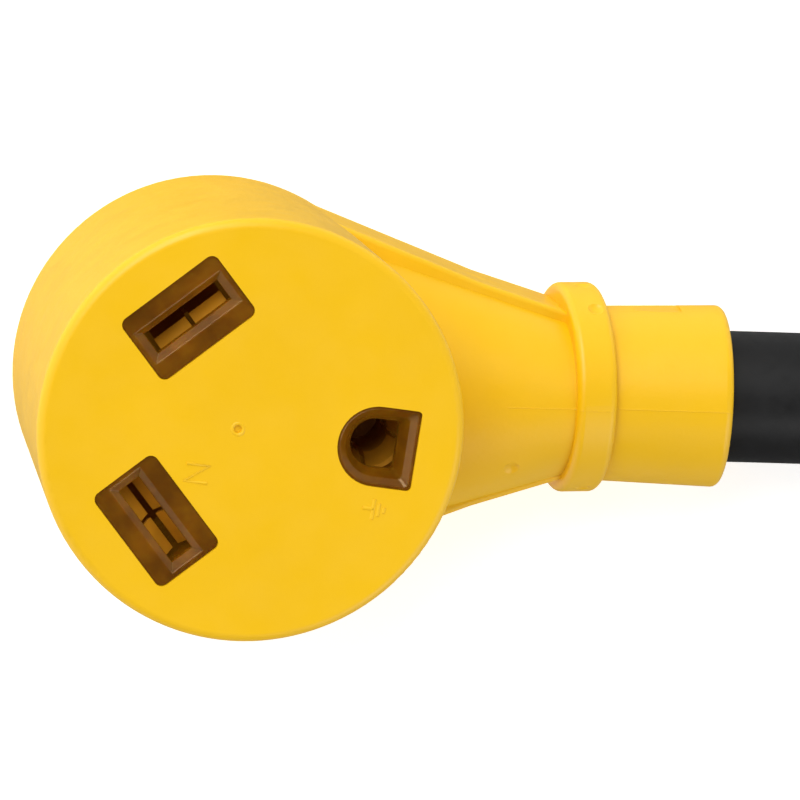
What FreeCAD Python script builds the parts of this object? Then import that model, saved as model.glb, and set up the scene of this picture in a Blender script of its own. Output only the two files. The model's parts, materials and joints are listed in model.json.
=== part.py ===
"""Dogbone power adapter: a 30 A travel-trailer receptacle, a short heavy cord and a household plug.

Millimetres.  The receptacle lies on its flat back.  The origin is where the axis of its
round body meets that back, +Z is the way the receptacle face looks, and +X is the way the
neck and the cord leave the body.
"""
import FreeCAD, Part
import math
import os
from FreeCAD import Vector

# ---- driving dimensions: receptacle body -------------------------------------------------
BODY_HEIGHT = 49.0            # back plane to face
FACE_RADIUS = 28.0
BACK_RADIUS = 26.0            # the body tapers towards its back
FACE_EDGE_ROUND = 1.2
BACK_EDGE_ROUND = 4.0
NECK_HEIGHT = 14.3            # neck and cord axis above the back plane
WEB_HALF_THICKNESS = 5.7      # flat flanks that run from the body to the collar
WEB_EDGE_ROUND = 0.7
WEB_TANGENT_RADIUS = 26.3
WEB_TANGENT_ANGLE = 70.0      # degrees, where a flank leaves the body
WEB_BEND = (34.0, 15.3, 14.75)    # x, half width on each side: a flank turns slightly here
WEB_END = (46.9, 11.4, 10.5)      # and ends inside the collar
NECK_ROOT = (4.0, 25.8, 13.0)     # x, half width, half height of the neck's section at the body
NECK_TIP = (47.5, 10.8, 12.6)     # the same inside the collar
COLLAR_PLACE = (45.1, 0.66)       # middle of the collar's near face: x, y
COLLAR_YAW = 1.1                  # degrees, the moulded collar leans slightly off square
COLLAR_PITCH = 5.1
COLLAR_WIDTH = 5.4
COLLAR_RADIUS = 13.95
COLLAR_ROUND = 1.0
TUBE_START = 47.0
TUBE_RADIUS_START = 11.5
TUBE_RADIUS_END = 12.15
TUBE_END = 67.5
TUBE_END_ROUND = 1.0
COLLAR_MARKS = ((85, 3.1), (58, 3.5), (-64, 3.0), (-88, 2.8))     # round dents: degrees, x
NECK_MARK = (38.6, -40.5, 12.8)    # x, degrees, distance of its floor from the neck axis
DENT_BALL = 1.8               # radius of the ball that shapes each dent
MARK_DEPTH = 0.35
FACE_MARK = (-1.8, 0.3)       # the gate's mark on the face
FACE_MARK_RADIUS = 0.55
CUT_REACH = 2.0               # length of the tools that cut the face mark and the tube's recess
RECESS_CORNER = (55.2, 10.9)      # shallow recess on the +Y side of the tube: x, z
RECESS_SIZE = (6.2, 6.0)
RECESS_REACH = 11.6               # distance of the recess's floor from the neck axis

# ---- driving dimensions: contact pattern -------------------------------------------------
PATTERN_TURN = -6.1           # degrees, the insert sits slightly turned in the body
PATTERN_CENTRE = (0.12, 0.2)
BLADE_CENTRE = (-10.6, 13.5)  # pattern x, and +/- y of the two blade openings
BLADE_ANGLE = 45.0            # the blade openings lean at +/- this angle
GROUND_CENTRE = (16.6, 0.0)
WINDOW = (15.2, 9.8)          # raised bosses around the blade funnels, seen through the face
WINDOW_CORNER = 1.1
BOSS_CLEARANCE = 0.05
FUNNEL_TOP = (13.9, 5.0)
FUNNEL_BOTTOM = (11.8, 3.2)
FUNNEL_DEPTH = 0.75
GROUND_WINDOW_RADIUS = 5.27   # D-shaped opening: round towards the blades, flat away
GROUND_WINDOW_FLAT = 5.12
GROUND_CORNER = 0.6
GROUND_STEPS = ((48.6, 4.92, 4.77), (47.9, 4.1, 3.9), (46.2, 3.25, 2.85))     # z, radius, flat
CARRIER_RECESS = 0.4          # insert top below the yellow face
CARRIER_RADIUS = 24.0
CARRIER_TOP = 45.3
CARRIER_BOTTOM = 24.0
COVER_THICKNESS = 2.5
POCKET = (12.0, 7.6)
POCKET_CORNER = 1.0
POCKET_TOP = 46.7
GROUND_POCKET_RADIUS = 5.0
GROUND_POCKET_TOP = 45.0
SPARE_POCKETS = ((-12.5, 0.0, 4.0), (4.5, 12.5, 6.0), (4.5, -12.5, 6.0))     # x, y, radius
SPARE_ROOF = 2.5

# ---- driving dimensions: contacts --------------------------------------------------------
STRIP = 0.8                   # contact strip thickness
CONTACT_WIDTH = 10.6
LEAF_WALL = (2.85, 3.65)      # inside and outside of a leaf's upright wall, from the slot's middle
LEAF_TOP = 46.2
LIP_START = 2.65              # where the folded lip starts to slope down into the slot
LIP_END = 43.8
LIP_GAP = {"hot": 0.65, "neutral": 0.42}      # half the gap between two facing lips
LIP_THICKNESS = 0.6
FINGER_SLIT = 0.6
SLIT_SPAN = 10.0
FINGER_ROOT = 29.0            # the slits between fingers start at this height
SLEEVE_BASE = (3.85, 2.0)     # radius, thickness of the sleeve's closed end
SLEEVE_OUTER = ((3.85, 26.0), (3.85, 32.0), (3.65, 36.5), (4.7, 40.5))     # radius, z
SLEEVE_INNER = ((4.15, 40.5), (3.0, 36.5), (3.15, 32.0), (3.15, 26.0))
CRIMP_OUTER = 2.3
CRIMP_NECK = 1.4              # solid length between a contact and its crimp barrel
CRIMP_LENGTH = 7.4

# ---- driving dimensions: cord ------------------------------------------------------------
CORD_DIAMETER = 17.5          # three 10 AWG conductors in a heavy jacket
JACKET_BORE = 11.4
CONDUCTOR_RADIUS = 1.5
INSULATION_RADIUS = 2.6
LAY_RADIUS = 3.02             # distance of each insulated conductor from the cord's centre
LAY_ANGLES = {"hot": 330, "neutral": 210, "ground": 90}
FILLER_RADIUS = 1.2
FILLER_LAY = 4.38
FILLER_ANGLES = (30, 150, 270)
JACKET_GRIP = 19.0            # length of jacket held inside each moulded end
GROUND_WIRE = (36.0, 27.5, 0.95, 9.3)     # x where it leaves the lay, then its turn: x, y, height
GROUND_WIRE_RADII = (8.0, 6.0, 5.2)
SIDE_WIRE = (46.5, 10.0, 15.6, 8.8)       # the same for hot and neutral
SIDE_WIRE_RADII = (14.0, 12.0, 5.8)
PLUG_WIRE = (22.0, 31.5)              # x where each wire leaves the lay, x where it meets its blade
PLUG_WIRE_RADII = (8.0, 8.0)
ARC_SHARE = 0.45              # part of the shorter run that each bend's tangent takes

# The route of the free cord's centre line, from the receptacle to the plug.
CORD_POINTS = [
    (67.5, 0.0, 14.3),
    (93.5, 0.0, 14.3),
    (143.1, -2.2, 8.85),
    (192.6, -9.1, 8.8),
    (241.1, -21.2, 8.8),
    (288.2, -37.9, 9.5),
    (328.8, -55.6, 17.5),
    (360.4, -70.7, 17.5),
]

# ---- driving dimensions: plug (its own axis is local +X, towards the blades) --------------
PLUG_LENGTH = 57.0
PLUG_FACE_RADIUS = 17.5
PLUG_NECK_RADIUS = 11.9
PLUG_COLLAR = (19.0, 26.5, 14.2)      # start, end, radius
PLUG_SHOULDER = (26.5, 12.7, 41.0)    # cone start, cone start radius, cone end
PLUG_SHOULDER_ROUND = 6.0
PLUG_FACE_ROUND = 1.6
GRIP_GROOVES = (44.5, 47.5, 50.5)
GROOVE_RADIUS = 0.8
GROOVE_PATH_RADIUS = 17.7
BRIDGE_RADIUS = 12.6
BRIDGE_THICKNESS = 7.0
BLADE_SPACING = 12.7
BLADE_WIDTH = 6.35
BLADE_THICKNESS = 1.52
BLADE_LENGTH = 17.5
BLADE_HOLE_RADIUS = 1.58
BLADE_HOLE_BACK = 3.9         # hole centre behind the blade's tip
BLADE_TIP_CHAMFER = 0.6
BLADE_DROP = -4.0             # height of the blades below the plug axis
PIN_OFFSET = 11.89            # ground pin above the blades
PIN_RADIUS = 2.38
PIN_SHANK_RADIUS = 2.1        # thinner shank that the bridge holds
PIN_LENGTH = 20.6
PIN_TIP_ROUND = 1.6
PLUG_CRIMP_START = 36.5
PLUG_CRIMP_END = 44.5
PLUG_CRIMP_NECK = 1.5
BLADE_ROOT = 45.5             # the blades and the pin's shank start inside their crimps' closed ends

OVERLAP = 0.5                 # how far cutting tools run past the faces they cut
WIRE_STOP = 0.2               # gap between a conductor's end and the closed end of its crimp


# ---- small helpers -----------------------------------------------------------------------
def box(size_x, size_y, size_z, corner):
    return Part.makeBox(size_x, size_y, size_z, Vector(*corner))


def cylinder(radius, height, base, axis=(0, 0, 1)):
    return Part.makeCylinder(radius, height, Vector(*base), Vector(*axis))


def tube(outer, inner, height, base, axis=(0, 0, 1)):
    return cylinder(outer, height, base, axis).cut(cylinder(inner, height, base, axis))


def rotated(shape, degrees, centre=(0, 0, 0)):
    turned = shape.copy()
    turned.rotate(Vector(*centre), Vector(0, 0, 1), degrees)
    return turned


def moved(shape, x=0.0, y=0.0, z=0.0):
    shifted = shape.copy()
    shifted.translate(Vector(x, y, z))
    return shifted


def in_pattern(shape):
    """Move a shape drawn in the contact pattern's axes into the body's axes."""
    return moved(rotated(shape, PATTERN_TURN), *PATTERN_CENTRE)


def pattern_point(x, y):
    turn = math.radians(PATTERN_TURN)
    across = x * math.cos(turn) - y * math.sin(turn)
    along = x * math.sin(turn) + y * math.cos(turn)
    return (across + PATTERN_CENTRE[0], along + PATTERN_CENTRE[1])


def corner_arc(centre, radius, z, start):
    """Quarter circle that begins at a given angle in degrees."""
    return Part.makeCircle(radius, Vector(*centre, z), Vector(0, 0, 1), start, start + 90)


def rectangle_wire(length, width, z, corner=0.0):
    """Rounded rectangle centred on the Z axis, its length along X."""
    half_l, half_w = length / 2, width / 2
    if corner == 0.0:
        corners = [(-half_l, -half_w), (half_l, -half_w), (half_l, half_w), (-half_l, half_w)]
        points = [Vector(x, y, z) for x, y in corners]
        return Part.makePolygon(points + points[:1])
    arcs = []
    for quarter, (sign_x, sign_y) in enumerate(((1, 1), (-1, 1), (-1, -1), (1, -1))):
        centre = (sign_x * (half_l - corner), sign_y * (half_w - corner))
        arcs.append(corner_arc(centre, corner, z, 90 * quarter))
    wire_edges = []
    for index, arc in enumerate(arcs):
        following = arcs[(index + 1) % 4]
        wire_edges.append(arc)
        wire_edges.append(Part.makeLine(arc.Vertexes[-1].Point, following.Vertexes[0].Point))
    return Part.Wire(wire_edges)


def d_wire(radius, flat, z):
    """D shape: a half circle on the -X side, closed by a flat at x = flat, its corners rounded."""
    corner = GROUND_CORNER
    side, end = radius - corner, flat - corner
    return Part.Wire([
        Part.makeCircle(radius, Vector(0, 0, z), Vector(0, 0, 1), 90, 270),
        Part.makeLine(Vector(0, -radius, z), Vector(end, -radius, z)),
        corner_arc((end, -side), corner, z, 270),
        Part.makeLine(Vector(flat, -side, z), Vector(flat, side, z)),
        corner_arc((end, side), corner, z, 0),
        Part.makeLine(Vector(end, radius, z), Vector(0, radius, z)),
    ])


def revolved(profile, axis):
    """Solid turned from a closed outline of edges about an axis through the origin."""
    return Part.Face(Part.Wire(profile)).revolve(Vector(0, 0, 0), Vector(*axis), 360)


def polyline(points):
    return [Part.makeLine(first, second) for first, second in zip(points, points[1:])]


def prism(wire, height):
    return Part.Face(wire).extrude(Vector(0, 0, height))


def loft(wires):
    return Part.makeLoft(wires, True, True)


def ring_edges(shape, axis_index, position, radius):
    """Circular edges of a given radius in the plane at a position along one axis."""
    found = []
    for edge in shape.Edges:
        curve = edge.Curve
        if isinstance(curve, Part.Circle) and abs(curve.Radius - radius) < 1e-3:
            if abs(curve.Center[axis_index] - position) < 1e-3:
                found.append(edge)
    return found


def rounded_path(points, radii):
    """Straight runs joined by tangent arcs, one radius for each inner point."""
    vectors = [Vector(*point) for point in points]
    edges = []
    start = vectors[0]
    for before, corner, after, radius in zip(vectors, vectors[1:], vectors[2:], radii):
        back = (before - corner).normalize()
        ahead = (after - corner).normalize()
        half_turn = (math.pi - back.getAngle(ahead)) / 2
        reach = radius * math.tan(half_turn)
        first, last = corner + back * reach, corner + ahead * reach
        inward = (back + ahead).normalize()
        middle = corner + inward * (radius / math.cos(half_turn) - radius)
        edges.append(Part.LineSegment(start, first).toShape())
        edges.append(Part.Arc(first, middle, last).toShape())
        start = last
    edges.append(Part.LineSegment(start, vectors[-1]).toShape())
    return Part.Wire(edges)


def pipe(path, radius):
    first = path.Edges[0]
    start = first.Vertexes[0].Point
    direction = first.tangentAt(first.FirstParameter)
    profile = Part.Wire([Part.makeCircle(radius, start, direction)])
    return path.makePipeShell([profile], True, False)


# ---- receptacle housing ------------------------------------------------------------------
def body_barrel():
    cone = Part.makeCone(BACK_RADIUS, FACE_RADIUS, BODY_HEIGHT)
    cone = cone.makeFillet(FACE_EDGE_ROUND, ring_edges(cone, 2, BODY_HEIGHT, FACE_RADIUS))
    return cone.makeFillet(BACK_EDGE_ROUND, ring_edges(cone, 2, 0.0, BACK_RADIUS))


def neck_web():
    """Flat plate whose flanks leave the body at a tangent and narrow to the collar."""
    angle = math.radians(WEB_TANGENT_ANGLE)
    root = (WEB_TANGENT_RADIUS * math.cos(angle), WEB_TANGENT_RADIUS * math.sin(angle))
    bottom = NECK_HEIGHT - WEB_HALF_THICKNESS
    far_side = [Vector(point[0], point[1], bottom) for point in (root, WEB_BEND, WEB_END)]
    near_side = [Vector(point[0], -point[-1], bottom) for point in (WEB_END, WEB_BEND, root)]
    outline = Part.makePolygon(far_side + near_side + far_side[:1])
    plate = prism(outline, 2 * WEB_HALF_THICKNESS)
    flank_edges = []
    for edge in plate.Edges:
        ends = [vertex.Point for vertex in edge.Vertexes]
        level = abs(ends[0].z - ends[1].z) < 1e-6
        if level and abs(ends[0].x - ends[1].x) > 1.0:
            flank_edges.append(edge)
    return plate.makeFillet(WEB_EDGE_ROUND, flank_edges)


def neck_section(x, half_width, half_height):
    """Oval section across the neck, drawn as a stretched circle."""
    circle = Part.Wire([Part.makeCircle(1.0, Vector(0, 0, 0), Vector(1, 0, 0))])
    stretch = FreeCAD.Matrix()
    stretch.scale(1.0, half_width, half_height)
    return moved(circle.transformGeometry(stretch), x, 0, NECK_HEIGHT)


def neck_core():
    """Wide oval at the body that narrows to an upright oval inside the collar."""
    return loft([neck_section(*NECK_ROOT), neck_section(*NECK_TIP)])


def at_collar(shape):
    """Move a shape drawn on the collar's own axis (+X, from its near face) to the neck."""
    placed = shape.copy()
    placed.rotate(Vector(0, 0, 0), Vector(0, 1, 0), COLLAR_PITCH)
    placed.rotate(Vector(0, 0, 0), Vector(0, 0, 1), COLLAR_YAW)
    return moved(placed, COLLAR_PLACE[0], COLLAR_PLACE[1], NECK_HEIGHT)


def neck_collar():
    """Ring with rounded rims around the end of the neck."""
    disc = cylinder(COLLAR_RADIUS, COLLAR_WIDTH, (0, 0, 0), (1, 0, 0))
    rims = ring_edges(disc, 0, 0.0, COLLAR_RADIUS) + ring_edges(disc, 0, COLLAR_WIDTH, COLLAR_RADIUS)
    return at_collar(disc.makeFillet(COLLAR_ROUND, rims))


def neck_tube():
    base = Vector(TUBE_START, 0, NECK_HEIGHT)
    length = TUBE_END - TUBE_START
    cone = Part.makeCone(TUBE_RADIUS_START, TUBE_RADIUS_END, length, base, Vector(1, 0, 0))
    return cone.makeFillet(TUBE_END_ROUND, ring_edges(cone, 0, TUBE_END, TUBE_RADIUS_END))


def dent(x, degrees, floor):
    """Ball whose near side reaches to a given distance from the X axis."""
    angle = math.radians(degrees)
    outward = Vector(0, math.sin(angle), math.cos(angle))
    return Part.makeSphere(DENT_BALL, Vector(x, 0, 0) + outward * (floor + DENT_BALL))


def surface_marks():
    """Small dents around the collar, one on the neck, and the gate's mark on the face."""
    marks = []
    for degrees, x in COLLAR_MARKS:
        marks.append(at_collar(dent(x, degrees, COLLAR_RADIUS - MARK_DEPTH)))
    marks.append(moved(dent(*NECK_MARK), z=NECK_HEIGHT))
    marks.append(cylinder(FACE_MARK_RADIUS, CUT_REACH, (*FACE_MARK, BODY_HEIGHT - MARK_DEPTH)))
    return marks


def tube_recess():
    """Shallow rectangular recess on the +Y side of the tube."""
    x, z = RECESS_CORNER
    length, height = RECESS_SIZE
    return box(length, CUT_REACH, height, (x, RECESS_REACH, z))


def receptacle_housing(inner_pieces):
    outer = body_barrel().fuse([neck_web(), neck_core(), neck_collar(), neck_tube()])
    outer = outer.removeSplitter()
    windows = carrier_bosses(BODY_HEIGHT - CARRIER_TOP + OVERLAP, BOSS_CLEARANCE)
    return outer.cut(surface_marks() + [tube_recess()] + windows + inner_pieces)


# ---- contact carrier ---------------------------------------------------------------------
def blade_places():
    """Placement of each blade opening: centre in pattern axes and angle in degrees."""
    x, y = BLADE_CENTRE
    return {"hot": (x, y, BLADE_ANGLE), "neutral": (x, -y, -BLADE_ANGLE)}


def at_blade(shape, name):
    x, y, angle = blade_places()[name]
    return in_pattern(moved(rotated(shape, angle), x, y))


def at_ground(shape):
    return in_pattern(moved(shape, *GROUND_CENTRE))


def carrier_bosses(height, clearance=0.0):
    """Three raised bosses, or with a clearance the openings in the face around them."""
    length, width = (side + 2 * clearance for side in WINDOW)
    bosses = []
    for name in blade_places():
        outline = rectangle_wire(length, width, CARRIER_TOP, WINDOW_CORNER)
        bosses.append(at_blade(prism(outline, height), name))
    outline = d_wire(GROUND_WINDOW_RADIUS + clearance, GROUND_WINDOW_FLAT + clearance, CARRIER_TOP)
    bosses.append(at_ground(prism(outline, height)))
    return bosses


def blade_opening():
    top = BODY_HEIGHT - CARRIER_RECESS
    bottom = top - FUNNEL_DEPTH
    funnel = loft([rectangle_wire(*FUNNEL_TOP, top), rectangle_wire(*FUNNEL_BOTTOM, bottom)])
    throat = prism(rectangle_wire(*FUNNEL_BOTTOM, POCKET_TOP - OVERLAP), bottom - POCKET_TOP + OVERLAP)
    return funnel.fuse(throat)


def ground_opening():
    """Two bevels, the lower one steeper, then a throat down to the sleeve's pocket."""
    outlines = [d_wire(radius, flat, z) for z, radius, flat in GROUND_STEPS]
    bevels = [loft([upper, lower]) for upper, lower in zip(outlines, outlines[1:])]
    z, radius, flat = GROUND_STEPS[-1]
    throat_floor = GROUND_POCKET_TOP - OVERLAP
    throat = prism(d_wire(radius, flat, throat_floor), z - throat_floor)
    return throat.fuse(bevels)


def carrier_envelope():
    block = cylinder(CARRIER_RADIUS, CARRIER_TOP - CARRIER_BOTTOM, (0, 0, CARRIER_BOTTOM))
    return block.fuse(carrier_bosses(BODY_HEIGHT - CARRIER_RECESS - CARRIER_TOP))


def contact_carrier():
    depth = POCKET_TOP - CARRIER_BOTTOM
    cuts = []
    for name in blade_places():
        cuts.append(at_blade(prism(rectangle_wire(*POCKET, CARRIER_BOTTOM, POCKET_CORNER), depth), name))
        cuts.append(at_blade(blade_opening(), name))
    ground_depth = GROUND_POCKET_TOP - CARRIER_BOTTOM
    cuts.append(at_ground(cylinder(GROUND_POCKET_RADIUS, ground_depth, (0, 0, CARRIER_BOTTOM))))
    cuts.append(at_ground(ground_opening()))
    spare_depth = CARRIER_TOP - CARRIER_BOTTOM - SPARE_ROOF
    for x, y, radius in SPARE_POCKETS:
        cuts.append(in_pattern(cylinder(radius, spare_depth, (x, y, CARRIER_BOTTOM))))
    return carrier_envelope().cut(cuts)


def carrier_rear_cover():
    base = CARRIER_BOTTOM - COVER_THICKNESS
    plate = cylinder(CARRIER_RADIUS, COVER_THICKNESS, (0, 0, base))
    holes = [cylinder(CRIMP_OUTER, COVER_THICKNESS, (x, y, base)) for x, y in contact_points().values()]
    return plate.cut(holes)


# ---- contacts ----------------------------------------------------------------------------
def contact_points():
    """Centre of each contact in the body's axes."""
    points = {}
    for name, (x, y, _) in blade_places().items():
        points[name] = pattern_point(x, y)
    points["ground"] = pattern_point(*GROUND_CENTRE)
    return points


def crimp_barrel():
    """Crimp under a contact: a closed neck, then a barrel that takes the bare conductor."""
    barrel_top = CARRIER_BOTTOM - CRIMP_NECK
    neck = cylinder(CRIMP_OUTER, CRIMP_NECK, (0, 0, barrel_top))
    barrel = tube(CRIMP_OUTER, CONDUCTOR_RADIUS, CRIMP_LENGTH, (0, 0, barrel_top - CRIMP_LENGTH))
    return neck.fuse(barrel)


def finger_slits():
    """Two crossing slits, the first along Y, that part a contact into fingers."""
    half_gap, half_span = FINGER_SLIT / 2, SLIT_SPAN / 2
    along_y = box(FINGER_SLIT, SLIT_SPAN, BODY_HEIGHT, (-half_gap, -half_span, FINGER_ROOT))
    along_x = box(SLIT_SPAN, FINGER_SLIT, BODY_HEIGHT, (-half_span, -half_gap, FINGER_ROOT))
    return [along_y, along_x]


def leaf_outline(gap):
    """Half section of a blade contact: up the wall, over its top and down the folded lip."""
    inside, outside = LEAF_WALL
    slope = Vector(gap - LIP_START, LIP_END - LEAF_TOP, 0).normalize()
    under_x, under_z = -slope.y * LIP_THICKNESS, slope.x * LIP_THICKNESS
    meet = (inside - LIP_START - under_x) / slope.x
    return [
        (outside, CARRIER_BOTTOM),
        (outside, LEAF_TOP),
        (LIP_START, LEAF_TOP),
        (gap, LIP_END),
        (gap + under_x, LIP_END + under_z),
        (inside, LEAF_TOP + under_z + meet * slope.y),
        (inside, CARRIER_BOTTOM + STRIP),
    ]


def blade_contact(name):
    """Strip bent into two facing leaves with folded lips, each split into two fingers."""
    half = leaf_outline(LIP_GAP[name])
    other_half = [(-across, z) for across, z in reversed(half)]
    points = [Vector(-CONTACT_WIDTH / 2, across, z) for across, z in half + other_half]
    strip = Part.Face(Part.makePolygon(points + points[:1])).extrude(Vector(CONTACT_WIDTH, 0, 0))
    return strip.cut(finger_slits()[0]).fuse(crimp_barrel())


def ground_contact():
    """Round sleeve that pinches and flares, split into four fingers by two crossing slits."""
    radius, thickness = SLEEVE_BASE
    base = cylinder(radius, thickness, (0, 0, CARRIER_BOTTOM))
    outline = [Vector(r, 0, z) for r, z in (*SLEEVE_OUTER, *SLEEVE_INNER, SLEEVE_OUTER[0])]
    sleeve = revolved(polyline(outline), (0, 0, 1))
    return base.fuse(sleeve).cut(finger_slits()).fuse(crimp_barrel())


# ---- conductors and cord ends ------------------------------------------------------------
def lay_point(degrees, distance=LAY_RADIUS):
    """Place of one strand in the cord's section, as (y, z) from its axis."""
    angle = math.radians(degrees)
    return (distance * math.cos(angle), distance * math.sin(angle))


def insulated_wire(points, radii, bare_length):
    """A conductor along a path, and the insulation that stops short of the conductor's end."""
    conductor = pipe(rounded_path(points, radii), CONDUCTOR_RADIUS)
    last, before = Vector(*points[-1]), Vector(*points[-2])
    stop = last + (before - last).normalize() * bare_length
    covered = list(points[:-1]) + [(stop.x, stop.y, stop.z)]
    outer = pipe(rounded_path(covered, radii), INSULATION_RADIUS)
    return conductor, outer.cut(conductor), outer


def receptacle_wire(name):
    """From the cord's end at the tube mouth, under the carrier and up into the contact."""
    x, y = contact_points()[name]
    lay_y, lay_z = lay_point(LAY_ANGLES[name])
    level = NECK_HEIGHT + lay_z
    start = (TUBE_END, lay_y, level)
    top = (x, y, CARRIER_BOTTOM - CRIMP_NECK - WIRE_STOP)
    radii = SIDE_WIRE_RADII
    fan_out, turn, spread, low = SIDE_WIRE
    if name == "ground":
        radii = GROUND_WIRE_RADII
        fan_out, turn, spread, low = GROUND_WIRE
    side = math.copysign(spread, y)
    points = [start, (fan_out, lay_y, level), (turn, side, low), (x, y, low), top]
    return insulated_wire(points, radii, CRIMP_LENGTH)


def jacket_end(start, axis=(1, 0, 0)):
    return tube(CORD_DIAMETER / 2, JACKET_BORE / 2, JACKET_GRIP, start, axis)


def fillers(start):
    """Three filler cords that lie in the hollows between the conductors."""
    rods = []
    x, y, z = start
    for degrees in FILLER_ANGLES:
        lay_y, lay_z = lay_point(degrees, FILLER_LAY)
        rods.append(cylinder(FILLER_RADIUS, JACKET_GRIP, (x, y + lay_y, z + lay_z), (1, 0, 0)))
    return rods


def bend_radii(points):
    """Each bend is as large as its two runs allow."""
    vectors = [Vector(*point) for point in points]
    radii = []
    for before, corner, after in zip(vectors, vectors[1:], vectors[2:]):
        half_turn = (math.pi - (before - corner).getAngle(after - corner)) / 2
        shorter = min((before - corner).Length, (after - corner).Length)
        radii.append(ARC_SHARE * shorter / math.tan(half_turn))
    return radii


def cord():
    radii = bend_radii(CORD_POINTS)
    path = rounded_path(CORD_POINTS, radii)
    solid = pipe(path, CORD_DIAMETER / 2)
    section = math.pi * CORD_DIAMETER ** 2 / 4
    print("cord length %.1f mm, bend radii %s mm" % (path.Length, [round(r) for r in radii]))
    print("cord volume over section times length: %.4f" % (solid.Volume / (section * path.Length)))
    return solid


# ---- plug --------------------------------------------------------------------------------
def place_on_cord(shape):
    """Move a shape from the plug's own axes to the far end of the cord."""
    end, before = Vector(*CORD_POINTS[-1]), Vector(*CORD_POINTS[-2])
    direction = end - before
    yaw = math.degrees(math.atan2(direction.y, direction.x))
    placed = rotated(shape, yaw)
    placed.translate(end)
    return placed


def plug_terminals():
    """Each terminal's place on the plug face, as (y, z) from the plug's axis."""
    half = BLADE_SPACING / 2
    return {
        "hot": (half, BLADE_DROP),
        "neutral": (-half, BLADE_DROP),
        "ground": (0.0, BLADE_DROP + PIN_OFFSET),
    }


def plug_outer():
    collar_start, collar_end, collar_radius = PLUG_COLLAR
    cone_start, cone_radius, cone_end = PLUG_SHOULDER
    axis = Vector(1, 0, 0)
    neck = Part.makeCylinder(PLUG_NECK_RADIUS, collar_end, Vector(0, 0, 0), axis)
    neck = neck.makeFillet(TUBE_END_ROUND, ring_edges(neck, 0, 0.0, PLUG_NECK_RADIUS))
    collar = Part.makeCylinder(collar_radius, collar_end - collar_start, Vector(collar_start, 0, 0), axis)
    rims = ring_edges(collar, 0, collar_start, collar_radius)
    rims += ring_edges(collar, 0, collar_end, collar_radius)
    collar = collar.makeFillet(COLLAR_ROUND, rims)
    cone_length = cone_end - cone_start
    cone = Part.makeCone(cone_radius, PLUG_FACE_RADIUS, cone_length, Vector(cone_start, 0, 0), axis)
    head = Part.makeCylinder(PLUG_FACE_RADIUS, PLUG_LENGTH - cone_end, Vector(cone_end, 0, 0), axis)
    body = cone.fuse(head)
    body = body.makeFillet(PLUG_SHOULDER_ROUND, ring_edges(body, 0, cone_end, PLUG_FACE_RADIUS))
    body = body.makeFillet(PLUG_FACE_ROUND, ring_edges(body, 0, PLUG_LENGTH, PLUG_FACE_RADIUS))
    grooves = []
    for x in GRIP_GROOVES:
        grooves.append(Part.makeTorus(GROOVE_PATH_RADIUS, GROOVE_RADIUS, Vector(x, 0, 0), axis))
    return neck.fuse([collar, body]).removeSplitter().cut(grooves)


def plug_bridge_block():
    start = PLUG_LENGTH - BRIDGE_THICKNESS
    return cylinder(BRIDGE_RADIUS, BRIDGE_THICKNESS, (start, 0, 0), (1, 0, 0))


def plug_crimp(y, z):
    length = PLUG_CRIMP_END - PLUG_CRIMP_START
    barrel = tube(CRIMP_OUTER, CONDUCTOR_RADIUS, length, (PLUG_CRIMP_START, y, z), (1, 0, 0))
    closed_end = cylinder(CRIMP_OUTER, PLUG_CRIMP_NECK, (PLUG_CRIMP_END, y, z), (1, 0, 0))
    return barrel.fuse(closed_end)


def plug_blade(name):
    """Flat blade with a drilled tip and tapered edges, and its crimp behind the bridge."""
    y, z = plug_terminals()[name]
    tip = PLUG_LENGTH + BLADE_LENGTH
    corner = (BLADE_ROOT, y - BLADE_THICKNESS / 2, z - BLADE_WIDTH / 2)
    blade = box(tip - BLADE_ROOT, BLADE_THICKNESS, BLADE_WIDTH, corner)
    corners = []
    for edge in blade.Edges:
        ends = [vertex.Point for vertex in edge.Vertexes]
        if abs(ends[0].x - tip) < 1e-6 and abs(ends[1].x - tip) < 1e-6:
            corners.append(edge)
    blade = blade.makeChamfer(BLADE_TIP_CHAMFER, corners)
    drill = 2 * BLADE_THICKNESS
    hole = cylinder(BLADE_HOLE_RADIUS, drill, (tip - BLADE_HOLE_BACK, y - drill / 2, z), (0, 1, 0))
    return blade.cut(hole).fuse(plug_crimp(y, z))


def plug_ground_pin():
    y, z = plug_terminals()["ground"]
    tip = PLUG_LENGTH + PIN_LENGTH
    pin = cylinder(PIN_RADIUS, PIN_LENGTH, (PLUG_LENGTH, y, z), (1, 0, 0))
    pin = pin.makeFillet(PIN_TIP_ROUND, ring_edges(pin, 0, tip, PIN_RADIUS))
    shank = cylinder(PIN_SHANK_RADIUS, PLUG_LENGTH - BLADE_ROOT, (BLADE_ROOT, y, z), (1, 0, 0))
    return pin.fuse([shank, plug_crimp(y, z)])


def plug_wire(name):
    y, z = plug_terminals()[name]
    lay_y, lay_z = lay_point(LAY_ANGLES[name])
    fan_out, turn = PLUG_WIRE
    end = (PLUG_CRIMP_END - WIRE_STOP, y, z)
    points = [(0.0, lay_y, lay_z), (fan_out, lay_y, lay_z), (turn, y, z), end]
    return insulated_wire(points, PLUG_WIRE_RADII, PLUG_CRIMP_END - PLUG_CRIMP_START)


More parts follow.
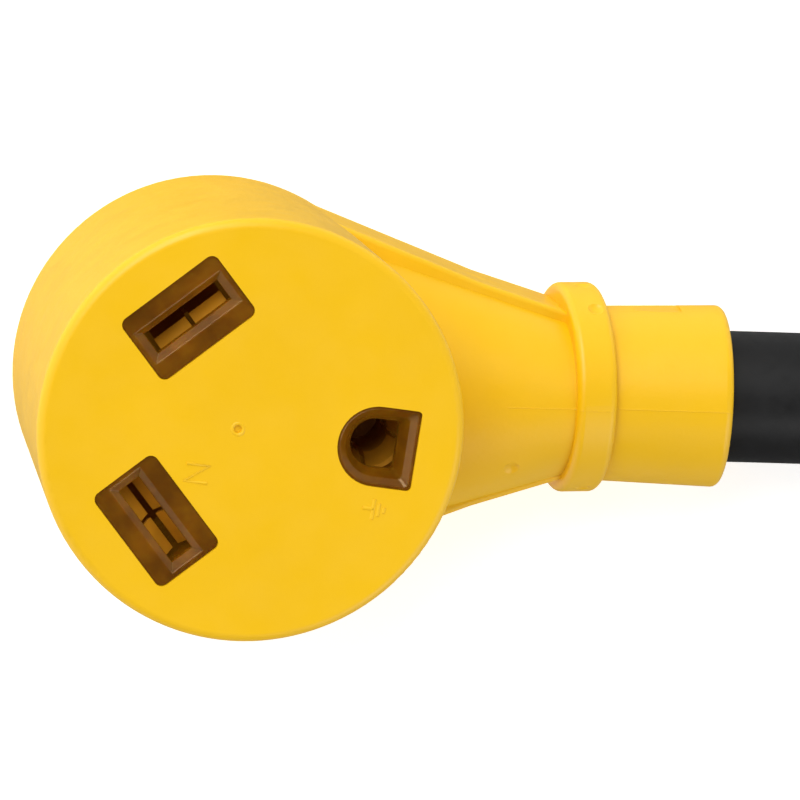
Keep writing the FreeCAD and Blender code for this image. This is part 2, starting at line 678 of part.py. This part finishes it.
# ---- the whole adapter -------------------------------------------------------------------
def build_receptacle():
    nodes = {}
    contacts = {name: at_blade(blade_contact(name), name) for name in blade_places()}
    contacts["ground"] = at_ground(ground_contact())
    start = (TUBE_END - JACKET_GRIP, 0, NECK_HEIGHT)
    cover_base = CARRIER_BOTTOM - COVER_THICKNESS
    cavity_height = CARRIER_TOP + BOSS_CLEARANCE - cover_base
    buried = [cylinder(CARRIER_RADIUS + BOSS_CLEARANCE, cavity_height, (0, 0, cover_base))]
    buried.append(cylinder(CORD_DIAMETER / 2, JACKET_GRIP, start, (1, 0, 0)))
    crimp_bottom = CARRIER_BOTTOM - CRIMP_NECK - CRIMP_LENGTH
    for name, (x, y) in contact_points().items():
        conductor, insulation, outer = receptacle_wire(name)
        nodes["receptacle_%s_conductor" % name] = conductor
        nodes["receptacle_%s_wire" % name] = insulation
        buried += [outer, conductor, cylinder(CRIMP_OUTER, CRIMP_LENGTH, (x, y, crimp_bottom))]
        nodes["%s_contact" % name] = contacts[name]
    nodes["receptacle_housing"] = receptacle_housing(buried)
    nodes["contact_carrier"] = contact_carrier()
    nodes["carrier_rear_cover"] = carrier_rear_cover()
    nodes["receptacle_jacket_end"] = jacket_end(start)
    nodes["receptacle_cable_filler"] = Part.makeCompound(fillers(start))
    return nodes


def build_plug():
    nodes = {}
    origin = (0.0, 0.0, 0.0)
    terminals = {name: plug_blade(name) for name in ("hot", "neutral")}
    terminals["ground"] = plug_ground_pin()
    buried = [plug_bridge_block(), cylinder(CORD_DIAMETER / 2, JACKET_GRIP, origin, (1, 0, 0))]
    crimp_length = PLUG_CRIMP_END - PLUG_CRIMP_START
    for name, (y, z) in plug_terminals().items():
        conductor, insulation, outer = plug_wire(name)
        nodes["plug_%s_conductor" % name] = conductor
        nodes["plug_%s_wire" % name] = insulation
        buried += [outer, conductor, terminals[name]]
        buried.append(cylinder(CRIMP_OUTER, crimp_length, (PLUG_CRIMP_START, y, z), (1, 0, 0)))
    nodes["plug_hot_blade"] = terminals["hot"]
    nodes["plug_neutral_blade"] = terminals["neutral"]
    nodes["plug_ground_pin"] = terminals["ground"]
    nodes["plug_housing"] = plug_outer().cut(buried)
    nodes["plug_bridge"] = plug_bridge_block().cut(list(terminals.values()))
    nodes["plug_jacket_end"] = jacket_end(origin)
    nodes["plug_cable_filler"] = Part.makeCompound(fillers(origin))
    return {name: place_on_cord(shape) for name, shape in nodes.items()}


def main():
    os.makedirs("parts", exist_ok=True)
    nodes = build_receptacle()
    nodes["cable_jacket"] = cord()
    nodes.update(build_plug())
    for name, shape in sorted(nodes.items()):
        if not shape.isValid():
            print("invalid solid:", name)
        shape.exportStep("parts/%s.step" % name)
    print(len(nodes), "nodes")


main()
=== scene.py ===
"""Looks of the dogbone power adapter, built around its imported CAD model.

Metres.  The receptacle lies on its flat back at the origin, its face looks up (+Z), and the
neck and cord leave it along +X.
"""
import json
import math

import bpy
from mathutils import Matrix, Vector

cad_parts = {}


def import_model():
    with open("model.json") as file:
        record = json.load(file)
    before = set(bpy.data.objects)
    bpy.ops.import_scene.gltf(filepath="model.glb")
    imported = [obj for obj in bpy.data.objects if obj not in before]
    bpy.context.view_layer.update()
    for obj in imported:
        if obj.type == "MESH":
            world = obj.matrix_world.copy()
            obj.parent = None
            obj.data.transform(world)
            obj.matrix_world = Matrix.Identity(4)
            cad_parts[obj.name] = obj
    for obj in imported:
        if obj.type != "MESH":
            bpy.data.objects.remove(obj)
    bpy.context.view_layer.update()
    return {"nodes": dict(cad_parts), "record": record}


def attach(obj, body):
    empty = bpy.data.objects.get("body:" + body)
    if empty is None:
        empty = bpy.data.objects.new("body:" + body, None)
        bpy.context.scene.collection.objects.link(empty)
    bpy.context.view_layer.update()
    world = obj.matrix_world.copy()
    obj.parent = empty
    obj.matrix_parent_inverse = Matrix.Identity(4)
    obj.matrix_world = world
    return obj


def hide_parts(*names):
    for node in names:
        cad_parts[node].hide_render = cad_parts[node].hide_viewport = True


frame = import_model()
nodes = frame["nodes"]

MM = 0.001

# ---- dimensions shared with the CAD source, in millimetres -------------------------------
BODY_HEIGHT = 49.0
PATTERN_TURN = -6.1            # degrees, the contact pattern against the neck's line
FACE_MARK = (-1.8, 0.3)        # centre of the moulding gate's mark
NECK_SPAN = (37.0, 67.0)       # along X, where the neck's parting lines show
PLUG_SPAN = (1.0, 56.2)        # from the cord's end, where the plug's parting lines show
CORD_DIAMETER = 17.5
CORD_STEPS = 24                # mesh steps between two points of the route
CORD_ROUNDNESS = 14            # mesh steps around the cord

# The route of the free cord's centre line, from the receptacle to the plug, in metres.
CORD_POINTS = [
    (0.0675, 0.0, 0.0143),
    (0.0935, 0.0, 0.0143),
    (0.1431, -0.0022, 0.00885),
    (0.1926, -0.0091, 0.0088),
    (0.2411, -0.0212, 0.0088),
    (0.2882, -0.0379, 0.0095),
    (0.3288, -0.0556, 0.0175),
    (0.3604, -0.0707, 0.0175),
]

# ---- moulded details, in millimetres -----------------------------------------------------
NEUTRAL_MARK = ((2.3, 3.0), (-6.9, -5.65))     # size and place of the mark by the neutral opening
EARTH_MARK = ((2.6, 2.8), (16.45, -9.8))       # size and place of the mark by the ground opening
EARTH_BARS = (0.5, 0.32, 0.14)                 # half widths of its bars, as shares of its width
MARK_STROKE = 0.34                             # radius of the marks' strokes
MARK_SINK = 0.22                               # depth of the strokes' centres under the face
STROKE_ROUNDNESS = 3                           # mesh steps around a stroke
GATE_RADIUS = 0.78                             # raised rim around the gate's mark
GATE_STROKE = 0.3
GATE_STEPS = 24
PARTING_RADIUS = 0.11                          # raised line where two mould halves met
PARTING_SINK = 0.07                            # depth of its centre under the skin
TRACE_STEP = 0.4                               # distance between points of a parting line
TRACE_ABOVE, TRACE_BELOW = 45.0, -5.0          # heights from which the neck's skin is looked for
PLUG_TRACE_REACH = 30.0                        # distance from which the plug's skin is looked for

# ---- stage, in metres --------------------------------------------------------------------
FLOOR_HALF = 40.0
FLOOR_DROP = 0.0002            # keeps the floor just clear of the object's flat back
FLOOR_GLOW = 0.47              # keeps the floor's shadows pale
AMBIENT = 0.06
# Bright sides of the studio: direction, level.
SURROUNDINGS = (
    ((0.0, 1.0, 0.0), 0.40),
    ((-1.0, 0.0, 0.0), 1.38),
    ((1.0, 0.0, 0.0), 0.45),
)
# Softboxes: name, place, size, power.
LIGHTS = (
    ("key", (-0.4, 0.8, 1.3), (0.8, 0.8), 10.3),
    ("side", (-0.5, 1.6, 0.9), (0.8, 0.8), 11.0),
    ("fill", (1.0, -0.9, 1.0), (1.2, 1.2), 11.0),
)
LIGHT_TARGET = (0.02, 0.0, 0.02)

# ---- camera ------------------------------------------------------------------------------
CAMERA_PLACE = (-0.2069, 0.2726, 1.5096)
CAMERA_RIGHT = (0.9883, 0.0528, 0.1433)
CAMERA_UP = (-0.0258, 0.9825, -0.1842)
CAMERA_LENS = 520.9
SENSOR_WIDTH = 36.0
CLIP_RANGE = (0.05, 50.0)


# ---- node helpers ------------------------------------------------------------------------
def new_material(name):
    made = bpy.data.materials.new(name)
    made.use_nodes = True
    return made, made.node_tree, made.node_tree.nodes["Principled BSDF"]


def add_node(tree, kind, inputs=None, **settings):
    node = tree.nodes.new(kind)
    for key, value in settings.items():
        setattr(node, key, value)
    for key, value in (inputs or {}).items():
        node.inputs[key].default_value = value
    return node


def noise(tree, coordinates, scale, detail=2.0, roughness=0.5):
    settings = {"Scale": scale, "Detail": detail, "Roughness": roughness}
    node = add_node(tree, "ShaderNodeTexNoise", settings)
    tree.links.new(coordinates, node.inputs["Vector"])
    return node.outputs["Fac"]


def object_coordinates(tree):
    return add_node(tree, "ShaderNodeTexCoord").outputs["Object"]


def remapped(tree, value, low, high, from_low=0.3, from_high=0.7):
    """A value brought from one range to another; noise lies mostly between 0.3 and 0.7."""
    node = add_node(tree, "ShaderNodeMapRange",
                    {"From Min": from_low, "From Max": from_high, "To Min": low, "To Max": high})
    tree.links.new(value, node.inputs["Value"])
    return node.outputs["Result"]


def colour_ramp(tree, value, stops):
    """A ramp between two colours, each given with its position."""
    node = add_node(tree, "ShaderNodeValToRGB")
    for element, (position, colour) in zip(node.color_ramp.elements, stops):
        element.position = position
        element.color = (*colour, 1.0)
    tree.links.new(value, node.inputs["Fac"])
    return node.outputs["Color"]


def add_bump(tree, shader, height, strength, distance):
    node = add_node(tree, "ShaderNodeBump", {"Strength": strength, "Distance": distance})
    tree.links.new(height, node.inputs["Height"])
    tree.links.new(node.outputs["Normal"], shader.inputs["Normal"])
    return node


def round_edges(tree, bump, radius):
    """Shade a piece's sharp edges as small moulded rounds."""
    rounded = add_node(tree, "ShaderNodeBevel", {"Radius": radius}, samples=6)
    tree.links.new(rounded.outputs["Normal"], bump.inputs["Normal"])


# ---- materials ---------------------------------------------------------------------------
def yellow_pvc():
    """Satin moulded PVC: faint flow mottling, a fine moulded grain and slightly uneven gloss."""
    made, tree, shader = new_material("yellow_pvc")
    place = object_coordinates(tree)
    flow = noise(tree, place, 45.0, 3.0, 0.55)
    tint = colour_ramp(tree, flow, [(0.30, (0.78, 0.450, 0.0012)), (0.70, (0.82, 0.475, 0.0020))])
    tree.links.new(tint, shader.inputs["Base Color"])
    gloss = remapped(tree, noise(tree, place, 220.0, 3.0), 0.34, 0.44)
    tree.links.new(gloss, shader.inputs["Roughness"])
    add_bump(tree, shader, noise(tree, place, 1500.0, 3.0, 0.6), 0.28, 0.00008)
    shader.inputs["Specular IOR Level"].default_value = 0.42
    return made


def amber_insert():
    """Brown tinted polycarbonate, partly see-through, with a faint painted warm glow (emission) in
    place of light leaking through it.
    """
    made, tree, shader = new_material("amber_insert")
    place = object_coordinates(tree)
    depth = noise(tree, place, 230.0, 3.0)
    tint = colour_ramp(tree, depth, [(0.35, (0.115, 0.036, 0.0015)), (0.65, (0.23, 0.084, 0.003))])
    tree.links.new(tint, shader.inputs["Base Color"])
    tree.links.new(remapped(tree, noise(tree, place, 500.0), 0.07, 0.13), shader.inputs["Roughness"])
    grain = add_bump(tree, shader, noise(tree, place, 700.0, 2.0), 0.12, 0.00006)
    round_edges(tree, grain, 0.00028)
    shader.inputs["Transmission Weight"].default_value = 0.3
    shader.inputs["Subsurface Weight"].default_value = 0.8
    shader.inputs["Subsurface Radius"].default_value = (1.0, 0.4, 0.05)
    shader.inputs["Subsurface Scale"].default_value = 0.004
    shader.inputs["IOR"].default_value = 1.58
    shader.inputs["Specular IOR Level"].default_value = 0.45
    shader.inputs["Specular Tint"].default_value = (1.0, 0.70, 0.42, 1.0)
    # Painted glow: a faint warm emission that lights the insert and its openings from within.
    shader.inputs["Emission Color"].default_value = (1.0, 0.42, 0.02, 1.0)
    shader.inputs["Emission Strength"].default_value = 0.03
    return made


def metal(name, colour, roughness, grain, metallic=1.0):
    """Drawn or stamped metal with a fine directional grain and light tarnish."""
    made, tree, shader = new_material(name)
    place = object_coordinates(tree)
    patches = noise(tree, place, 190.0, 3.0)
    darker = tuple(0.78 * channel for channel in colour)
    tint = colour_ramp(tree, patches, [(0.35, darker), (0.65, colour)])
    tree.links.new(tint, shader.inputs["Base Color"])
    spread = remapped(tree, noise(tree, place, 800.0, 4.0), roughness - 0.06, roughness + 0.08)
    tree.links.new(spread, shader.inputs["Roughness"])
    stretch = add_node(tree, "ShaderNodeMapping", {"Scale": grain})
    tree.links.new(place, stretch.inputs["Vector"])
    add_bump(tree, shader, noise(tree, stretch.outputs["Vector"], 1.0, 3.0), 0.15, 0.00004)
    shader.inputs["Metallic"].default_value = metallic
    return made


def soft_plastic(name, colour, roughness, mottle=0.12, specular=0.5):
    """Extruded or moulded plastic with slight colour and gloss variation."""
    made, tree, shader = new_material(name)
    place = object_coordinates(tree)
    low = tuple(channel * (1.0 - mottle) for channel in colour)
    high = tuple(min(1.0, channel * (1.0 + mottle)) for channel in colour)
    patches = noise(tree, place, 120.0, 3.0)
    tree.links.new(colour_ramp(tree, patches, [(0.30, low), (0.70, high)]), shader.inputs["Base Color"])
    gloss = remapped(tree, noise(tree, place, 600.0, 3.0), roughness - 0.05, roughness + 0.07)
    tree.links.new(gloss, shader.inputs["Roughness"])
    add_bump(tree, shader, noise(tree, place, 2200.0, 2.0), 0.15, 0.00005)
    shader.inputs["Specular IOR Level"].default_value = specular
    return made


def twisted_filler():
    """Twisted natural-fibre filler."""
    made, tree, shader = new_material("jute_filler")
    place = object_coordinates(tree)
    settings = {"Scale": 900.0, "Distortion": 3.0}
    strands = add_node(tree, "ShaderNodeTexWave", settings, bands_direction="DIAGONAL")
    tree.links.new(place, strands.inputs["Vector"])
    stops = [(0.0, (0.36, 0.26, 0.14)), (1.0, (0.58, 0.45, 0.27))]
    tint = colour_ramp(tree, strands.outputs["Fac"], stops)
    tree.links.new(tint, shader.inputs["Base Color"])
    add_bump(tree, shader, strands.outputs["Fac"], 0.6, 0.0002)
    shader.inputs["Roughness"].default_value = 0.9
    return made


MATERIALS = {
    "yellow_pvc": yellow_pvc(),
    "amber_insert": amber_insert(),
    "brass_strip": metal("brass_strip", (0.66, 0.29, 0.015), 0.38, (200.0, 200.0, 3000.0), 0.25),
    "plated_blade": metal("plated_blade", (0.80, 0.62, 0.30), 0.26, (1500.0, 1500.0, 3000.0)),
    "copper": metal("copper", (0.75, 0.32, 0.17), 0.30, (800.0, 800.0, 800.0)),
    "black_jacket": soft_plastic("black_jacket", (0.006, 0.006, 0.0062), 0.42, specular=0.3),
    "black_insert": soft_plastic("black_insert", (0.022, 0.022, 0.024), 0.40),
    "black_insulation": soft_plastic("black_insulation", (0.02, 0.02, 0.02), 0.40),
    "white_insulation": soft_plastic("white_insulation", (0.82, 0.82, 0.80), 0.40, 0.04),
    "green_insulation": soft_plastic("green_insulation", (0.02, 0.28, 0.06), 0.40),
    "jute_filler": twisted_filler(),
}


def dress(piece, slot):
    piece.data.materials.clear()
    piece.data.materials.append(MATERIALS[slot])


def dress_cad_nodes():
    for part in frame["record"]["subparts"]:
        if part["node"] in nodes:
            dress(nodes[part["node"]], part["material_slot"])


# ---- free cord ---------------------------------------------------------------------------
def free_cord():
    """The cord between the two ends, as one smooth curve along its route."""
    curve = bpy.data.curves.new("cord", "CURVE")
    curve.dimensions = "3D"
    spline = curve.splines.new("NURBS")
    spline.points.add(len(CORD_POINTS) - 1)
    for point, place in zip(spline.points, CORD_POINTS):
        point.co = (*place, 1.0)
    spline.order_u = 3
    spline.use_endpoint_u = True
    curve.resolution_u = CORD_STEPS
    curve.bevel_depth = CORD_DIAMETER / 2 * MM
    curve.bevel_resolution = CORD_ROUNDNESS
    curve.use_fill_caps = True
    cord = bpy.data.objects.new("cord", curve)
    bpy.context.scene.collection.objects.link(cord)
    dress(cord, "black_jacket")
    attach(cord, "root")
    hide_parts("cable_jacket")


# ---- moulded details ---------------------------------------------------------------------
def add_piece(name, mesh, slot):
    piece = bpy.data.objects.new(name, mesh)
    bpy.context.scene.collection.objects.link(piece)
    dress(piece, slot)
    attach(piece, "root")


def stroke_mesh(name, lines, radius):
    """Rounded strokes along lines of points in millimetres, as one mesh."""
    curve = bpy.data.curves.new(name, "CURVE")
    curve.dimensions = "3D"
    for points, closed in lines:
        spline = curve.splines.new("POLY")
        spline.points.add(len(points) - 1)
        for point, place in zip(spline.points, points):
            point.co = (place[0] * MM, place[1] * MM, place[2] * MM, 1.0)
        spline.use_cyclic_u = closed
    curve.bevel_depth = radius * MM
    curve.bevel_resolution = STROKE_ROUNDNESS
    curve.use_fill_caps = True
    holder = bpy.data.objects.new(name, curve)
    bpy.context.scene.collection.objects.link(holder)
    mesh = bpy.data.meshes.new_from_object(holder)
    mesh.name = name
    bpy.data.objects.remove(holder)
    for polygon in mesh.polygons:
        polygon.use_smooth = True
    return mesh


def neutral_mark(width, height):
    """The plain N of a neutral terminal: one open stroke, upright about its own centre."""
    corners = ((-0.5, -0.5), (-0.5, 0.5), (0.5, -0.5), (0.5, 0.5))
    return [[(x * width, y * height) for x, y in corners]]


def earth_mark(width, height):
    """The usual earth symbol: a stem over bars that get shorter downwards."""
    strokes = [[(0.0, 0.5 * height), (0.0, 0.0)]]
    for row, share in enumerate(EARTH_BARS):
        level = -0.25 * height * row
        strokes.append([(-share * width, level), (share * width, level)])
    return strokes


def on_face(outline, centre, turn):
    """Lay an upright outline on the receptacle's face, turned about its centre."""
    angle = math.radians(turn)
    placed = []
    for x, y in outline:
        across = centre[0] + x * math.cos(angle) - y * math.sin(angle)
        along = centre[1] + x * math.sin(angle) + y * math.cos(angle)
        placed.append((across, along, BODY_HEIGHT - MARK_SINK))
    return placed


def terminal_marks():
    """Generic terminal marks, raised from the face beside the neutral and ground openings."""
    reading = 90.0 + PATTERN_TURN
    lines = []
    for shape, (size, centre) in ((neutral_mark, NEUTRAL_MARK), (earth_mark, EARTH_MARK)):
        for stroke in shape(*size):
            lines.append((on_face(stroke, centre, reading), False))
    mesh = stroke_mesh("terminal_marks", lines, MARK_STROKE)
    add_piece("terminal_marks", mesh, "yellow_pvc")


def gate_ring():
    """Raised rim around the moulding gate's mark."""
    ring = []
    for step in range(GATE_STEPS):
        angle = 2 * math.pi * step / GATE_STEPS
        ring.append((GATE_RADIUS * math.cos(angle), GATE_RADIUS * math.sin(angle)))
    line = on_face(ring, FACE_MARK, 0.0)
    add_piece("gate_ring", stroke_mesh("gate_ring", [(line, True)], GATE_STROKE), "yellow_pvc")


def steps_along(span):
    """Distances along a span, one parting line step apart."""
    start, end = span
    count = round((end - start) / TRACE_STEP) + 1
    return [start + TRACE_STEP * step for step in range(count)]


def surface_trace(piece, stations, towards):
    """Points just under a piece's skin, found by looking from each station in one direction."""
    found = []
    for station in stations:
        start = Vector(station) * MM
        hit, place, _, _ = piece.ray_cast(start, towards)
        if hit:
            found.append(tuple(value / MM for value in place + towards * PARTING_SINK * MM))
    return found


def neck_parting_lines():
    """The lines over and under the neck, where the two halves of its mould met."""
    housing = nodes["receptacle_housing"]
    lines = []
    for height, look in ((TRACE_ABOVE, -1), (TRACE_BELOW, 1)):
        stations = [(x, 0.0, height) for x in steps_along(NECK_SPAN)]
        lines.append((surface_trace(housing, stations, Vector((0, 0, look))), False))
    mesh = stroke_mesh("neck_parting_line", lines, PARTING_RADIUS)
    add_piece("neck_parting_line", mesh, "yellow_pvc")


def plug_parting_lines():
    """The same lines over and under the plug."""
    plug = nodes["plug_housing"]
    end, before = Vector(CORD_POINTS[-1]) / MM, Vector(CORD_POINTS[-2]) / MM
    ahead = (end - before).normalized()
    along = [end + ahead * distance for distance in steps_along(PLUG_SPAN)]
    reach = Vector((0, 0, PLUG_TRACE_REACH))
    lines = []
    for side in (1, -1):
        stations = [place + reach * side for place in along]
        lines.append((surface_trace(plug, stations, Vector((0, 0, -side))), False))
    mesh = stroke_mesh("plug_parting_line", lines, PARTING_RADIUS)
    add_piece("plug_parting_line", mesh, "yellow_pvc")


dress_cad_nodes()
free_cord()
terminal_marks()
gate_ring()
neck_parting_lines()
plug_parting_lines()


# ---- stage -------------------------------------------------------------------------------
def floor():
    """A wide pale floor that gives off a little light and stays out of reflections."""
    half = FLOOR_HALF
    corners = [(-half, -half, 0), (half, -half, 0), (half, half, 0), (-half, half, 0)]
    mesh = bpy.data.meshes.new("floor")
    mesh.from_pydata(corners, [], [(0, 1, 2, 3)])
    plane = bpy.data.objects.new("floor", mesh)
    plane.location.z = -FLOOR_DROP
    plane.visible_glossy = False
    bpy.context.scene.collection.objects.link(plane)
    made, tree, shader = new_material("floor")
    shader.inputs["Base Color"].default_value = (0.9, 0.9, 0.9, 1.0)
    shader.inputs["Roughness"].default_value = 0.9
    shader.inputs["Emission Color"].default_value = (1.0, 1.0, 1.0, 1.0)
    shader.inputs["Emission Strength"].default_value = FLOOR_GLOW
    plane.data.materials.append(made)


def area_light(name, place, size, power):
    light = bpy.data.lights.new(name, "AREA")
    light.shape = "RECTANGLE"
    light.size, light.size_y = size
    light.energy = power
    holder = bpy.data.objects.new(name, light)
    holder.location = place
    aim = Vector(LIGHT_TARGET) - Vector(place)
    holder.rotation_euler = aim.to_track_quat("-Z", "Y").to_euler()
    holder.visible_camera = False
    bpy.context.scene.collection.objects.link(holder)


def world():
    """Studio surroundings: an even level, with a broad soft glow from each bright side."""
    made = bpy.data.worlds.new("studio")
    made.use_nodes = True
    tree = made.node_tree
    direction = add_node(tree, "ShaderNodeTexCoord").outputs["Generated"]
    total = add_node(tree, "ShaderNodeValue").outputs["Value"]
    total.default_value = AMBIENT
    for side, level in SURROUNDINGS:
        facing = add_node(tree, "ShaderNodeVectorMath", {1: side}, operation="DOT_PRODUCT")
        tree.links.new(direction, facing.inputs[0])
        glow = remapped(tree, facing.outputs["Value"], 0.0, level, 0.0, 1.0)
        added = add_node(tree, "ShaderNodeMath", operation="ADD")
        tree.links.new(total, added.inputs[0])
        tree.links.new(glow, added.inputs[1])
        total = added.outputs["Value"]
    background = tree.nodes["Background"]
    background.inputs["Color"].default_value = (1.0, 1.0, 1.0, 1.0)
    tree.links.new(total, background.inputs["Strength"])
    bpy.context.scene.world = made


def camera():
    """A long lens, set by its place and the directions of the picture's right and up."""
    right, up = Vector(CAMERA_RIGHT), Vector(CAMERA_UP)
    back = right.cross(up).normalized()
    up = back.cross(right).normalized()
    turn = Matrix((right.normalized(), up, back)).transposed()
    data = bpy.data.cameras.new("camera")
    data.sensor_width = SENSOR_WIDTH
    data.lens = CAMERA_LENS
    data.clip_start, data.clip_end = CLIP_RANGE
    holder = bpy.data.objects.new("camera", data)
    holder.matrix_world = Matrix.Translation(Vector(CAMERA_PLACE)) @ turn.to_4x4()
    bpy.context.scene.collection.objects.link(holder)
    bpy.context.scene.camera = holder


floor()
world()
camera()
for settings in LIGHTS:
    area_light(*settings)
bpy.context.scene.view_settings.view_transform = "Standard"
